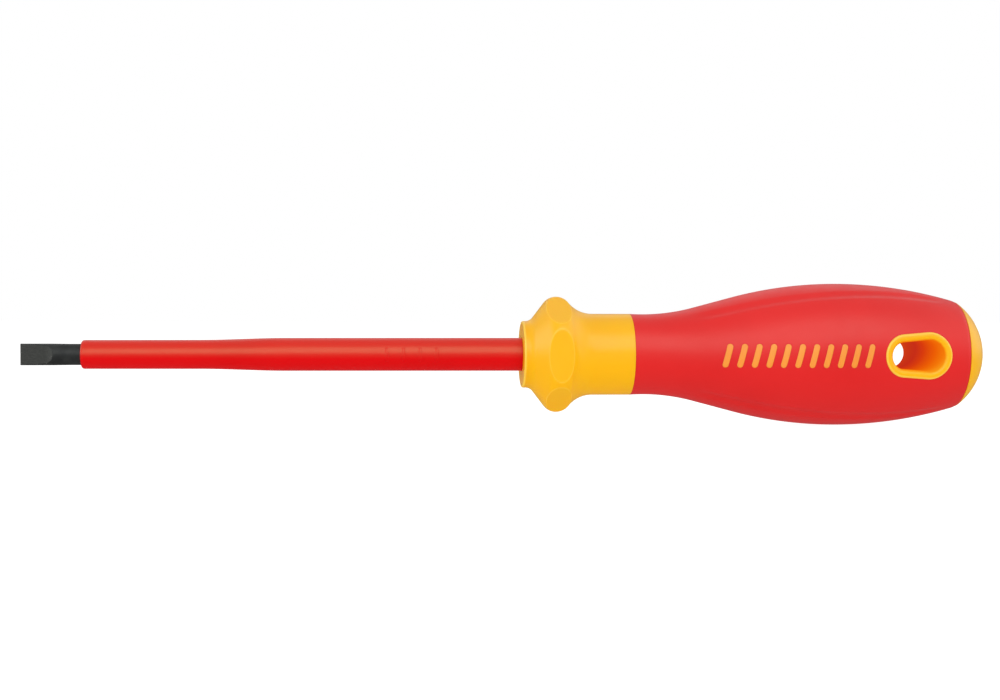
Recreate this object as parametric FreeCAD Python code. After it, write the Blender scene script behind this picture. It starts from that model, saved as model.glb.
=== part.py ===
import FreeCAD, Part
import math
import os

# An insulated slotted screwdriver with a moulded, guarded handle.
#
# Frame: millimetres. The origin is the centre of the blade tip's end face.
# +X runs along the tool's axis from the tip to the butt, the hanging hole runs
# along Y, and +Z is up. Angles about the axis are measured from -Y towards +Z.

# Blade: a round steel bar with a ground tip and forged wings at its buried end.
TIP_WIDTH = 5.4
TIP_THICKNESS = 1.0
TIP_TAPER_DEG = 7.0
TIP_TAPER_LENGTH = 5.2
TIP_HOLLOW_RADIUS = 5.0
SHANK_DIAMETER = 5.3
BLADE_END_X = 200.0
WING_STARTS_X = [168.0, 184.0]
WING_LENGTH = 11.0
WING_SPAN = 8.8
WING_THICKNESS = 1.6

# Blade sleeve: moulded insulation that leaves only the tip bare.
SLEEVE_FRONT_X = 14.9
SLEEVE_END_X = 160.0
SLEEVE_FRONT_RADIUS = 3.60
SLEEVE_STEP_START_X = 44.0
SLEEVE_STEP_END_X = 65.5
SLEEVE_STEP_RADII = [3.64, 4.15]
SLEEVE_REAR_RADIUS = 4.24
SLEEVE_EDGE_ROUND = 0.5
SLEEVE_RING_RADIUS = 5.0
SLEEVE_RING_STARTS_X = [147.0, 151.0, 155.0]
SLEEVE_RING_WIDTH = 2.0
SLEEVE_MARK_CENTRES_X = [90.6, 94.8, 99.0, 103.2]
SLEEVE_MARK_HEIGHT = 3.6
SLEEVE_MARK_STROKE = 0.9
SLEEVE_MARK_RISE = 0.15

# Core: the hard insert moulded round the wings.
CORE_END_X = 206.0
CORE_RADIUS = 6.0
CORE_KEY_RADIUS = 8.4
CORE_KEY_WIDTH = 2.4
CORE_KEY_SPAN_X = [173.0, 203.0]
CORE_KEYS = 4

# Handle body: front collar, guard and neck, then the spine beneath the grip.
COLLAR_FRONT_X = 125.0
COLLAR_RADIUS = 8.51
COLLAR_LENGTH = 0.9
GUARD_FRONT_ROUND = 2.48
GUARD_FRONT_TURN = 52.5
GUARD_FRONT_SLOPE = 4.75
GUARD_CREST_ROUND = 3.85
GUARD_REAR_TURN = 50.5
GUARD_REAR_ROUND = 8.17
GUARD_FLATS = 6
GUARD_FLAT_DISTANCE = 13.15
COLLAR_EDGE_ROUND = 0.35

# Soft grip: a waist, a straight slope and a long barrel.
GRIP_FRONT_X = 152.76
GRIP_FRONT_RADIUS = 10.39
GRIP_FRONT_DIP_DEG = 3.7
GRIP_WAIST_ROUND = 51.6
GRIP_SLOPE_DEG = 14.9
GRIP_SLOPE_LENGTH = 10.6
GRIP_FRONT_BARREL_ROUND = 105.8
GRIP_REAR_BARREL_ROUND = 113.3
GRIP_REAR_TURN = 15.5
GRIP_SHOULDER_ROUND = 4.0
GRIP_SHOULDER_TURN = 19.0
GRIP_WALL = 3.2
GRIP_LOCK_RINGS_X = [154.5, 166.0, 196.0, 212.0]
GRIP_LOCK_RING_WIDTH = 3.0
GRIP_LOCK_RING_DEPTH = 0.9

# Four shallow finger channels run along the grip.
CHANNEL_SPAN_X = [167.0, 235.0]
CHANNEL_START_DEG = 53.3
CHANNEL_DRIFT_DEG = 13.0
CHANNEL_DRIFT_POWER = 2.2
CHANNEL_TOOL_RADIUS = 9.0
CHANNEL_DEPTH = 0.33
CHANNEL_STATIONS = 9

# Hanging hole: two circles joined by their tangents, lined by the handle body.
HOLE_FRONT_X = 220.0
HOLE_FRONT_RADIUS = 3.4
HOLE_REAR_X = 226.7
HOLE_REAR_RADIUS = 3.92
HOLE_LINER_WALL = 2.05
HOLE_LINER_RISE = 0.35
HOLE_LINER_ROUND = 0.9

# Butt cap: a spherical dome with a spigot.
DOME_CENTRE_X = 228.7
DOME_RADIUS = 16.75
CAP_SPIGOT_RADIUS = 7.0
CAP_SPIGOT_LENGTH = 4.5

# Stripes: slanted bars let in flush with the grip on both faces.
STRIPE_COUNT = 11
STRIPE_SPAN_X = [175.5, 210.5]
STRIPE_HEIGHT = 6.0
STRIPE_WIDTH = 1.5
STRIPE_LEAN_DEG = 14.0
STRIPE_DEPTH = 0.8

# Every piece fits inside this radius; cutting tools reach out to it.
OUTER_REACH = 30.0
SHANK_RADIUS = SHANK_DIAMETER / 2


def point(x, y, z):
    """A point or direction in the tool's frame."""
    return FreeCAD.Vector(x, y, z)


ORIGIN = point(0, 0, 0)
TOOL_AXIS = point(1, 0, 0)


def trace(start, heading_deg, steps):
    """An outline in the XZ plane whose straights and arcs run smoothly into one another.

    A step is a length for a straight, or a (radius, turn in degrees) pair for an arc that turns
    away from the axis when its turn is positive.
    """
    x, z = start
    heading = math.radians(heading_deg)
    edges = []
    for step in steps:
        begin = point(x, 0, z)
        if isinstance(step, tuple):
            radius, turn = step[0], math.radians(step[1])
            side = math.copysign(radius, turn)
            centre_x = x - side * math.sin(heading)
            centre_z = z + side * math.cos(heading)
            places = []
            for angle in (heading + turn / 2, heading + turn):
                places.append(
                    point(centre_x + side * math.sin(angle), 0, centre_z - side * math.cos(angle))
                )
            edges.append(Part.Arc(begin, places[0], places[1]).toShape())
            heading += turn
        else:
            places = [point(x + step * math.cos(heading), 0, z + step * math.sin(heading))]
            edges.append(Part.makeLine(begin, places[0]))
        x, z = places[-1].x, places[-1].z
    return edges


def turned(edges):
    """The solid that an open outline sweeps about the axis; its ends are dropped to the axis."""
    first = edges[0].Vertexes[0].Point
    last = edges[-1].Vertexes[-1].Point
    closing = []
    if last.z > 1e-6:
        closing.append(Part.makeLine(last, point(last.x, 0, 0)))
    closing.append(Part.makeLine(point(last.x, 0, 0), point(first.x, 0, 0)))
    if first.z > 1e-6:
        closing.append(Part.makeLine(point(first.x, 0, 0), first))
    face = Part.Face(Part.Wire(edges + closing))
    return face.revolve(ORIGIN, TOOL_AXIS, 360)


def disc(start_x, end_x, radius):
    """A plain cylinder on the tool's axis."""
    return Part.makeCylinder(radius, end_x - start_x, point(start_x, 0, 0), TOOL_AXIS)


def about_axis(shape, angle_deg):
    """A copy of a shape turned about the tool's axis."""
    copy = shape.copy()
    copy.rotate(ORIGIN, TOOL_AXIS, angle_deg)
    return copy


def hull_prism(first, first_radius, second, second_radius, near_y, far_y):
    """A prism along Y whose outline is two circles in the XZ plane joined by their tangents."""
    run = math.hypot(second[0] - first[0], second[1] - first[1])
    toward = math.atan2(second[1] - first[1], second[0] - first[0])
    spread = math.acos((first_radius - second_radius) / run)

    def on_circle(centre, radius, angle):
        return point(centre[0] + radius * math.cos(angle), near_y, centre[1] + radius * math.sin(angle))

    first_top = on_circle(first, first_radius, toward + spread)
    first_far = on_circle(first, first_radius, toward + math.pi)
    first_low = on_circle(first, first_radius, toward - spread)
    second_low = on_circle(second, second_radius, toward - spread)
    second_far = on_circle(second, second_radius, toward)
    second_top = on_circle(second, second_radius, toward + spread)
    outline = Part.Wire(
        [
            Part.Arc(first_top, first_far, first_low).toShape(),
            Part.makeLine(first_low, second_low),
            Part.Arc(second_low, second_far, second_top).toShape(),
            Part.makeLine(second_top, first_top),
        ]
    )
    return Part.Face(outline).extrude(point(0, far_y - near_y, 0))


def bar_prism(centre_x, height, width, lean_deg, near_y, far_y):
    """A round-ended bar seen along Y, leaning towards +X at its top."""
    half = (height - width) / 2
    shift = half * math.tan(math.radians(lean_deg))
    low = (centre_x - shift, -half)
    high = (centre_x + shift, half)
    return hull_prism(low, width / 2, high, width / 2, near_y, far_y)


# Blade


def tip_hollow():
    """What the grinding wheel takes off one broad side of the tip."""
    run = TIP_TAPER_LENGTH / math.cos(math.radians(TIP_TAPER_DEG))
    wheel_turn = 60
    edges = trace((0, TIP_THICKNESS / 2), TIP_TAPER_DEG, [run, (TIP_HOLLOW_RADIUS, wheel_turn)])
    first = edges[0].Vertexes[0].Point
    last = edges[-1].Vertexes[-1].Point
    corners = [last, point(last.x, 0, OUTER_REACH), point(-1, 0, OUTER_REACH), point(-1, 0, first.z), first]
    closing = [Part.makeLine(corners[i], corners[i + 1]) for i in range(len(corners) - 1)]
    side = Part.Face(Part.Wire(edges + closing)).extrude(point(0, 2 * TIP_WIDTH, 0))
    side.translate(point(0, -TIP_WIDTH, 0))
    return side


def wing(start_x, angle_deg):
    """A pair of opposite fins squeezed out of the bar, as a plate with curved edges."""
    middle_x = start_x + WING_LENGTH / 2
    end_x = start_x + WING_LENGTH
    near_y = -WING_THICKNESS / 2
    top = Part.Arc(
        point(start_x, near_y, 0),
        point(middle_x, near_y, WING_SPAN / 2),
        point(end_x, near_y, 0),
    ).toShape()
    low = Part.Arc(
        point(end_x, near_y, 0),
        point(middle_x, near_y, -WING_SPAN / 2),
        point(start_x, near_y, 0),
    ).toShape()
    plate = Part.Face(Part.Wire([top, low])).extrude(point(0, WING_THICKNESS, 0))
    return about_axis(plate, angle_deg)


def blade():
    """The steel bar, broad tip across Z, with two pairs of wings at right angles."""
    end_break = 0.8
    tip_end_x = 8.0
    shank_start_x = 12.0
    corners = [
        point(0, 0, TIP_WIDTH / 2),
        point(tip_end_x, 0, TIP_WIDTH / 2),
        point(shank_start_x, 0, SHANK_RADIUS),
        point(BLADE_END_X - end_break, 0, SHANK_RADIUS),
        point(BLADE_END_X, 0, SHANK_RADIUS - end_break),
    ]
    bar = turned([Part.makeLine(corners[i], corners[i + 1]) for i in range(len(corners) - 1)])
    for angle in (90, 270):
        bar = bar.cut(about_axis(tip_hollow(), angle))
    for index, start_x in enumerate(WING_STARTS_X):
        bar = bar.fuse(wing(start_x, 90 * index))
    return bar.removeSplitter()


# Blade sleeve


def sleeve_outline():
    """The sleeve's skin: a slim front, an eased step and a slightly fuller rear."""
    round_end_x = SLEEVE_FRONT_X + SLEEVE_EDGE_ROUND
    slim, full = SLEEVE_STEP_RADII
    front = trace(
        (SLEEVE_FRONT_X, SLEEVE_FRONT_RADIUS - SLEEVE_EDGE_ROUND), 90, [(SLEEVE_EDGE_ROUND, -90)]
    )
    corner = point(round_end_x, 0, SLEEVE_FRONT_RADIUS)
    step_start = point(SLEEVE_STEP_START_X, 0, slim)
    step_end = point(SLEEVE_STEP_END_X, 0, full)
    step = Part.BSplineCurve()
    step.interpolate([step_start, step_end], InitialTangent=TOOL_AXIS, FinalTangent=TOOL_AXIS)
    rear = point(SLEEVE_END_X, 0, SLEEVE_REAR_RADIUS)
    return front + [Part.makeLine(corner, step_start), step.toShape(), Part.makeLine(step_end, rear)]


def sleeve_marks():
    """Four low raised bars on each broad side, in place of moulded lettering."""
    skin = disc(SLEEVE_STEP_END_X, COLLAR_FRONT_X, SLEEVE_REAR_RADIUS + SLEEVE_MARK_RISE)
    bars = []
    for centre_x in SLEEVE_MARK_CENTRES_X:
        bars.append(
            bar_prism(centre_x, SLEEVE_MARK_HEIGHT, SLEEVE_MARK_STROKE, 0, -OUTER_REACH, OUTER_REACH)
        )
    return [bar.common(skin) for bar in bars]


def sleeve_solid():
    """The sleeve before its bore is taken out."""
    solid = turned(sleeve_outline())
    for start_x in SLEEVE_RING_STARTS_X:
        solid = solid.fuse(disc(start_x, start_x + SLEEVE_RING_WIDTH, SLEEVE_RING_RADIUS))
    return solid.fuse(sleeve_marks())


def blade_sleeve():
    """The red insulation on the blade, with three rings that lock it into the handle."""
    return sleeve_solid().cut(blade()).removeSplitter()


# Core


def core_solid():
    """The core before the blade's place is taken out: a barrel with four keys."""
    solid = disc(SLEEVE_END_X, CORE_END_X, CORE_RADIUS)
    key_start_x, key_end_x = CORE_KEY_SPAN_X
    for index in range(CORE_KEYS):
        key = Part.makeBox(
            key_end_x - key_start_x,
            CORE_KEY_WIDTH,
            CORE_KEY_RADIUS,
            point(key_start_x, -CORE_KEY_WIDTH / 2, 0),
        )
        solid = solid.fuse(about_axis(key, index * 360 / CORE_KEYS))
    return solid


def handle_core():
    """The hard insert that carries the torque from the wings to the handle body."""
    return core_solid().cut(blade()).removeSplitter()


# Handle


def collar_outline():
    """The skin of the collar, the guard and the neck, up to the grip's front edge."""
    edge = COLLAR_EDGE_ROUND
    edges = trace(
        (COLLAR_FRONT_X, COLLAR_RADIUS - edge),
        90,
        [
            (edge, -90),
            COLLAR_LENGTH - edge,
            (GUARD_FRONT_ROUND, GUARD_FRONT_TURN),
            GUARD_FRONT_SLOPE,
            (GUARD_CREST_ROUND, -GUARD_FRONT_TURN - GUARD_REAR_TURN),
            (GUARD_REAR_ROUND, GUARD_REAR_TURN),
        ],
    )
    neck = edges[-1].Vertexes[-1].Point
    return edges + [Part.makeLine(neck, point(GRIP_FRONT_X, 0, neck.z))]


def grip_outline(inset, with_shoulder):
    """The grip's skin, or a line at a constant depth beneath it."""
    dip = math.radians(GRIP_FRONT_DIP_DEG)
    start = (GRIP_FRONT_X - inset * math.sin(dip), GRIP_FRONT_RADIUS - inset * math.cos(dip))
    steps = [
        (GRIP_WAIST_ROUND + inset, GRIP_FRONT_DIP_DEG + GRIP_SLOPE_DEG),
        GRIP_SLOPE_LENGTH,
        (GRIP_FRONT_BARREL_ROUND - inset, -GRIP_SLOPE_DEG),
        (GRIP_REAR_BARREL_ROUND - inset, -GRIP_REAR_TURN),
    ]
    if with_shoulder:
        steps.append((GRIP_SHOULDER_ROUND, -GRIP_SHOULDER_TURN))
    else:
        steps.append(GRIP_SHOULDER_ROUND)
    return trace(start, -GRIP_FRONT_DIP_DEG, steps)


GRIP_END_X = grip_outline(0, True)[-1].Vertexes[-1].Point.x


def grip_radius(x):
    """The radius of the grip's skin at a place along the axis."""
    ray = Part.makeLine(point(x, 0, 0), point(x, 0, OUTER_REACH))
    skin = Part.Wire(grip_outline(0, False))
    return ray.distToShape(skin)[1][0][0].z


def grip_band(inset):
    """The turned solid at a depth beneath the grip's skin, kept within the grip's length."""
    return turned(grip_outline(inset, False)).common(disc(GRIP_FRONT_X, GRIP_END_X, OUTER_REACH))


def liner_solid():
    """The hanging hole's lining, which stands a little proud of the grip on both faces."""
    wall = HOLE_LINER_WALL
    front = (HOLE_FRONT_X, 0)
    rear = (HOLE_REAR_X, 0)
    outer = hull_prism(
        front, HOLE_FRONT_RADIUS + wall, rear, HOLE_REAR_RADIUS + wall, -OUTER_REACH, OUTER_REACH
    )
    liner = outer.common(grip_band(-HOLE_LINER_RISE))
    lips = [edge for edge in liner.Edges if edge.BoundBox.YLength < edge.BoundBox.XLength]
    return liner.makeFillet(HOLE_LINER_ROUND, lips)


def hanging_hole():
    """The opening through the handle."""
    front = (HOLE_FRONT_X, 0)
    rear = (HOLE_REAR_X, 0)
    return hull_prism(front, HOLE_FRONT_RADIUS, rear, HOLE_REAR_RADIUS, -OUTER_REACH, OUTER_REACH)


def guard_flats():
    """A six-sided bar that leaves one flat on each side of the guard; its corners point along Z."""
    corner = GUARD_FLAT_DISTANCE / math.cos(math.pi / GUARD_FLATS)
    corners = []
    for index in range(GUARD_FLATS + 1):
        angle = 2 * math.pi * index / GUARD_FLATS
        corners.append(point(COLLAR_FRONT_X, corner * math.sin(angle), corner * math.cos(angle)))
    sides = Part.Face(Part.makePolygon(corners))
    return sides.extrude(point(GRIP_FRONT_X - COLLAR_FRONT_X, 0, 0))


def spine_solid():
    """The part of the body beneath the grip, with rings that the grip locks into."""
    solid = grip_band(GRIP_WALL)
    for start_x in GRIP_LOCK_RINGS_X:
        end_x = start_x + GRIP_LOCK_RING_WIDTH
        narrow = grip_radius(start_x) - GRIP_WALL - GRIP_LOCK_RING_DEPTH
        ring = disc(start_x, end_x, OUTER_REACH).cut(disc(start_x, end_x, narrow))
        solid = solid.cut(ring)
    return solid


def body_solid():
    """The handle body before its hollows: guard, spine and hole lining in one moulding."""
    guard = turned(collar_outline()).common(guard_flats())
    return guard.fuse([spine_solid(), liner_solid()])


def cap_spigot():
    """The round plug that fixes the butt cap in the spine."""
    return disc(GRIP_END_X - CAP_SPIGOT_LENGTH, GRIP_END_X, CAP_SPIGOT_RADIUS)


def handle_body():
    """The yellow moulding, hollow for the sleeve, the core, the cap's spigot and the hole."""
    hollows = [sleeve_solid(), core_solid(), cap_spigot(), hanging_hole()]
    return body_solid().cut(hollows).removeSplitter()


def channel_cutter(side_y, side_z):
    """A round bar that lies along the grip's skin and lifts out of it at both ends."""
    places = []
    for index in range(CHANNEL_STATIONS):
        share = index / (CHANNEL_STATIONS - 1)
        x = CHANNEL_SPAN_X[0] + share * (CHANNEL_SPAN_X[1] - CHANNEL_SPAN_X[0])
        angle = math.radians(CHANNEL_START_DEG + CHANNEL_DRIFT_DEG * share**CHANNEL_DRIFT_POWER)
        at_end = index in (0, CHANNEL_STATIONS - 1)
        lift = CHANNEL_TOOL_RADIUS - (0 if at_end else CHANNEL_DEPTH)
        reach = grip_radius(x) + lift
        places.append(point(x, side_y * reach * math.cos(angle), side_z * reach * math.sin(angle)))
    path = Part.BSplineCurve()
    path.interpolate(places)
    spine = Part.Wire([path.toShape()])
    start, direction = places[0], path.tangent(path.FirstParameter)[0]
    section = Part.Wire([Part.makeCircle(CHANNEL_TOOL_RADIUS, start, direction)])
    return spine.makePipeShell([section], True, False)


def stripes():
    """The slanted bars on one or both faces, each following the grip's skin."""
    bars = []
    for index in range(STRIPE_COUNT):
        share = index / (STRIPE_COUNT - 1)
        x = STRIPE_SPAN_X[0] + share * (STRIPE_SPAN_X[1] - STRIPE_SPAN_X[0])
        for near_y, far_y, lean in ((-OUTER_REACH, 0, STRIPE_LEAN_DEG), (0, OUTER_REACH, -STRIPE_LEAN_DEG)):
            bars.append(bar_prism(x, STRIPE_HEIGHT, STRIPE_WIDTH, lean, near_y, far_y))
    skin = grip_band(0).cut(grip_band(STRIPE_DEPTH))
    return [bar.common(skin) for bar in bars]


def grip_stripes():
    """The stripes as one group of separate solids."""
    return Part.makeCompound(stripes())


def soft_grip():
    """The red soft moulding round the spine, with channels, stripe pockets and the hole."""
    outer = turned(grip_outline(0, True))
    channels = [channel_cutter(side_y, side_z) for side_y in (-1, 1) for side_z in (-1, 1)]
    grip = outer.cut(channels)
    grip = grip.cut([spine_solid(), liner_solid()] + stripes())
    return grip.removeSplitter()


def butt_cap():
    """The yellow dome that closes the handle."""
    rim = math.sqrt(DOME_RADIUS**2 - (GRIP_END_X - DOME_CENTRE_X) ** 2)
    half_angle = math.atan2(rim, GRIP_END_X - DOME_CENTRE_X) / 2
    dome = Part.Arc(
        point(GRIP_END_X, 0, rim),
        point(
            DOME_CENTRE_X + DOME_RADIUS * math.cos(half_angle),
            0,
            DOME_RADIUS * math.sin(half_angle),
        ),
        point(DOME_CENTRE_X + DOME_RADIUS, 0, 0),
    ).toShape()
    return turned([dome]).fuse(cap_spigot()).removeSplitter()


PIECES = [blade, blade_sleeve, handle_core, handle_body, soft_grip, grip_stripes, butt_cap]


def main():
    """Write one file per piece, named after its function."""
    os.makedirs("parts", exist_ok=True)
    for piece in PIECES:
        piece().exportStep("parts/" + piece.__name__ + ".step")


main()
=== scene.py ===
"""The looks of an insulated slotted screwdriver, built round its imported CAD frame.

Lengths are millimetres in the frame's axes until a mesh is made, when they become metres. The tool's
axis is X. An angle about it runs from the face seen from the front (-Y) up towards +Z.
"""

import math

import bmesh
import bpy
import numpy as np
from mathutils import Matrix, Quaternion, Vector


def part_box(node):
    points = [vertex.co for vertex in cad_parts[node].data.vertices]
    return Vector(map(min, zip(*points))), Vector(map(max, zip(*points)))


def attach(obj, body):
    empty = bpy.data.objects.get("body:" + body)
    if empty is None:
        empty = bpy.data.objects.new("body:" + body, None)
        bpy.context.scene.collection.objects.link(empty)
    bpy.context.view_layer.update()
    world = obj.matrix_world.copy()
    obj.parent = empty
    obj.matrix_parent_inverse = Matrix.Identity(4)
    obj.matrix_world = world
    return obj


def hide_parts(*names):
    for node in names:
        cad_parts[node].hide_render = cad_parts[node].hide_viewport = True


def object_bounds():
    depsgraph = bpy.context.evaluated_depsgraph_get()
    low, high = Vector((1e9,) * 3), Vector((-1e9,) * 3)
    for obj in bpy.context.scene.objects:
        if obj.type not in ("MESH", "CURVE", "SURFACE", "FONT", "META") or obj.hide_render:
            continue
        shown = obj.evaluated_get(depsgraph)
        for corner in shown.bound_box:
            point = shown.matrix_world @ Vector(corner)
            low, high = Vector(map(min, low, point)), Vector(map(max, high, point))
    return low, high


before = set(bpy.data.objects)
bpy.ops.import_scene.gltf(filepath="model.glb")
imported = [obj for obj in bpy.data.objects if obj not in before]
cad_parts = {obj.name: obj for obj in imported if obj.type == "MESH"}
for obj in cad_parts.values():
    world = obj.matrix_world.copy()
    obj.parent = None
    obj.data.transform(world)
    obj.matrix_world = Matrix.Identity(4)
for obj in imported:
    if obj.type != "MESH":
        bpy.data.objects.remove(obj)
cad_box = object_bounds()

MM = 0.001


def span(node):
    """A CAD node's lowest and highest corners, in millimetres."""
    low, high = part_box(node)
    return np.array(low) / MM, np.array(high) / MM


_, BLADE_HIGH = span("blade")
SLEEVE_LOW, SLEEVE_HIGH = span("blade_sleeve")
CORE_LOW, CORE_HIGH = span("handle_core")
BODY_LOW, _ = span("handle_body")
GRIP_LOW, _ = span("soft_grip")
STRIPE_LOW, STRIPE_HIGH = span("grip_stripes")
CAP_LOW, _ = span("butt_cap")

# Blade
TIP_HALF_WIDTH = 2.7
TIP_HALF_THICKNESS = 0.5
TIP_TAPER_DEG = 7.0
TIP_TAPER_LENGTH = 5.2
TIP_HOLLOW_ROUND = 5.0
TIP_EDGE_ROUND = 0.06
GROUND_SOFTNESS = 0.06
NOT_GROUND = 99.0  # stands for a thickness so great that nothing is ground off
SHANK_RADIUS = 2.65
SHANK_BLEND = (8.0, 12.0)  # where the tip's width passes into the bar's
SHANK_END_CHAMFER = 0.8
WING_STARTS = (168.0, 184.0)
WING_LENGTH = 11.0
WING_HALF_THICKNESS = 0.8
WING_HALF_SPAN = 4.4

# Blade sleeve
SLEEVE_RADII = (3.60, 3.64, 4.15, 4.24)  # at the front, before the step, after it and at the rear
SLEEVE_STEP = (44.0, 65.5)
SLEEVE_FRONT_ROUND = 0.7
SLEEVE_BORE_EDGE = 0.12
SLEEVE_RING_RADIUS = 5.0
SLEEVE_RING_STARTS = (147.0, 151.0, 155.0)
SLEEVE_RING_WIDTH = 2.0
MARK_CENTRES = (90.6, 94.8, 99.0, 103.2)
MARK_HALF_HEIGHT = 1.35
MARK_HALF_STROKE = 0.45
MARK_SLOPE = 0.28
MARK_MARGIN = 1.0  # of finely spaced rings in front of the bars and behind them
MARK_RISE = 0.15

# Core
CORE_RADIUS = 6.0
CORE_KEY_HALF_WIDTH = 1.2
CORE_KEY_SPAN = (173.0, 203.0)

# Collar and guard
COLLAR_RADIUS = 8.51
COLLAR_EDGE_ROUND = 0.35
COLLAR_BORE_EDGE = 0.15
COLLAR_LENGTH = 0.9
GUARD_FRONT_ROUND = 2.48
GUARD_FRONT_TURN_DEG = 52.5
GUARD_FRONT_SLOPE = 4.75
GUARD_CREST_ROUND = 3.85
GUARD_REAR_TURN_DEG = 50.5
GUARD_REAR_ROUND = 8.17
GUARD_FLATS = 6
GUARD_FLAT_DISTANCE = 13.15
GUARD_FLAT_SOFTNESS = 0.16
GUARD_EDGE_WIDTH = 0.13
GUARD_EDGE_HIGHLIGHT = 0.55

# Grip
GRIP_FRONT_RADIUS = 10.39
GRIP_FRONT_DIP_DEG = 3.7
GRIP_WAIST_ROUND = 51.6
GRIP_SLOPE_DEG = 14.9
GRIP_SLOPE_LENGTH = 10.6
GRIP_FRONT_BARREL_ROUND = 105.8
GRIP_REAR_BARREL_ROUND = 113.3
GRIP_REAR_TURN_DEG = 15.5
GRIP_SHOULDER_ROUND = 4.0
GRIP_SHOULDER_TURN_DEG = 19.0
GRIP_WALL = 3.2
GRIP_EDGE_ROUND = 0.12

# Finger channels in the grip
CHANNEL_SPAN = (167.0, 235.0)
CHANNEL_FADE = 7.0
CHANNEL_START_DEG = 53.3
CHANNEL_DRIFT_DEG = 13.0
CHANNEL_DRIFT_POWER = 2.2
CHANNEL_HALF_WIDTH = 2.1
CHANNEL_DEPTH = 0.33

# Hanging hole and its lining
HOLE_FRONT_X = 220.0
HOLE_FRONT_RADIUS = 3.4
HOLE_REAR_X = 226.7
HOLE_REAR_RADIUS = 3.92
LINER_WALL = 2.05
LINER_RISE = 0.35
LINER_INNER_ROUND = 1.5
LINER_OUTER_ROUND = 0.45
LINER_SKIRT = 0.4
LIP_HIGHLIGHT = (1.3, 1.9)  # distances from the bore over which the lip's outer round takes on a painted highlight
LIP_DEEP = (0.5, 1.2)  # heights above the bore's straight wall over which its painted glow and painted shade fade
HOLE_BORE_HALF_DEPTH = 12.0
HOLE_WINDOW_MARGIN = 2.2  # of skin round the lining that is meshed to follow its outline

# Stripes let into the grip
STRIPE_COUNT = 11
STRIPE_HALF_WIDTH = 0.75
STRIPE_LEAN_DEG = 14.0
STRIPE_DEPTH = 0.8
STRIPE_GAP = 0.02
STRIPE_FLOOR_INSET = 0.7
STRIPE_CROWN = ((0.3, 0.025), (0.5, 0.03), (0.7, 0.03))  # distances from the edge, and heights there
POCKET_MARGIN = 1.0
SEAM_WIDTH = 0.1
SEAM_DEPTH = 0.04

# Butt cap
DOME_CENTRE_X = 228.7
DOME_RADIUS = 16.75
DOME_RIM_WIDTH = 0.15
DOME_RIM_TURN = 0.008  # radians
SPIGOT_RADIUS = 7.0
GATE_RADIUS = 1.6
GATE_EDGE = 0.25
GATE_DEPTH = 0.12

# Mesh fineness
AROUND = 240
CROWDING = 0.42  # of the blade's points towards the tip's narrow edges
TIP_SPACING = 0.1
TIP_OUTLINE_SPACING = 0.05
BAR_SPACING = 2.0
WING_SPACING = 0.25
SLEEVE_SPACING = 1.0
SLEEVE_MOUTH_SPACING = 0.08
MARK_SPACING = 0.08
GUARD_SPACING = 0.15
NECK_SPACING = 0.5
GRIP_SPACING = 0.5
GRIP_OUTLINE_SPACING = 0.25
LIP_SPACING = 0.12
BORE_ROWS = 13
STRIPE_POINTS = 64
DOME_ROWS = 70
HAIR = 0.01  # a clearance between the faces of neighbouring pieces
TINY = 1e-6  # keeps a division from failing


# Outlines


def trace(start, heading_deg, steps, spacing):
    """Points along straights and arcs that run smoothly into one another, as an (n, 2) array.

    A step is a length for a straight, or a (radius, turn in degrees) pair for an arc.
    """
    here = np.array(start, float)
    heading = math.radians(heading_deg)
    points = [here]
    for step in steps:
        if isinstance(step, tuple):
            radius, turn = step[0], math.radians(step[1])
            side = math.copysign(radius, turn)
            centre = here + side * np.array([-math.sin(heading), math.cos(heading)])
            count = max(3, int(math.ceil(abs(radius * turn) / spacing)))
            for share in np.arange(1, count + 1) / count:
                angle = heading + share * turn
                points.append(centre + side * np.array([math.sin(angle), -math.cos(angle)]))
            heading += turn
        else:
            count = max(1, int(math.ceil(step / spacing)))
            way = np.array([math.cos(heading), math.sin(heading)])
            for share in np.arange(1, count + 1) / count:
                points.append(here + share * step * way)
        here = points[-1]
    return np.array(points)


def ease(low, high, value):
    """0 before low, 1 after high, and a smooth rise between them."""
    share = np.clip((value - low) / (high - low), 0, 1)
    return share * share * (3 - 2 * share)


def soft_min(first, second, softness):
    """The smaller of two values, with the corner between them rounded off."""
    share = np.clip(0.5 + 0.5 * (second - first) / softness, 0, 1)
    return second + (first - second) * share - softness * share * (1 - share)


def collar_outline():
    """The collar, guard and neck, from the collar's front edge to the grip."""
    edge = COLLAR_EDGE_ROUND
    points = trace(
        (BODY_LOW[0], COLLAR_RADIUS - edge),
        90,
        [
            (edge, -90),
            COLLAR_LENGTH - edge,
            (GUARD_FRONT_ROUND, GUARD_FRONT_TURN_DEG),
            GUARD_FRONT_SLOPE,
            (GUARD_CREST_ROUND, -GUARD_FRONT_TURN_DEG - GUARD_REAR_TURN_DEG),
            (GUARD_REAR_ROUND, GUARD_REAR_TURN_DEG),
        ],
        GUARD_SPACING,
    )
    neck = trace(points[-1], 0, [GRIP_LOW[0] - points[-1][0]], NECK_SPACING)
    return np.vstack([points, neck[1:]])


GRIP_SKIN = trace(
    (GRIP_LOW[0], GRIP_FRONT_RADIUS),
    -GRIP_FRONT_DIP_DEG,
    [
        (GRIP_WAIST_ROUND, GRIP_FRONT_DIP_DEG + GRIP_SLOPE_DEG),
        GRIP_SLOPE_LENGTH,
        (GRIP_FRONT_BARREL_ROUND, -GRIP_SLOPE_DEG),
        (GRIP_REAR_BARREL_ROUND, -GRIP_REAR_TURN_DEG),
        (GRIP_SHOULDER_ROUND, -GRIP_SHOULDER_TURN_DEG),
    ],
    GRIP_OUTLINE_SPACING,
)


def grip_radius(x):
    """The radius of the grip's skin, without its channels."""
    return np.interp(x, GRIP_SKIN[:, 0], GRIP_SKIN[:, 1])


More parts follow.
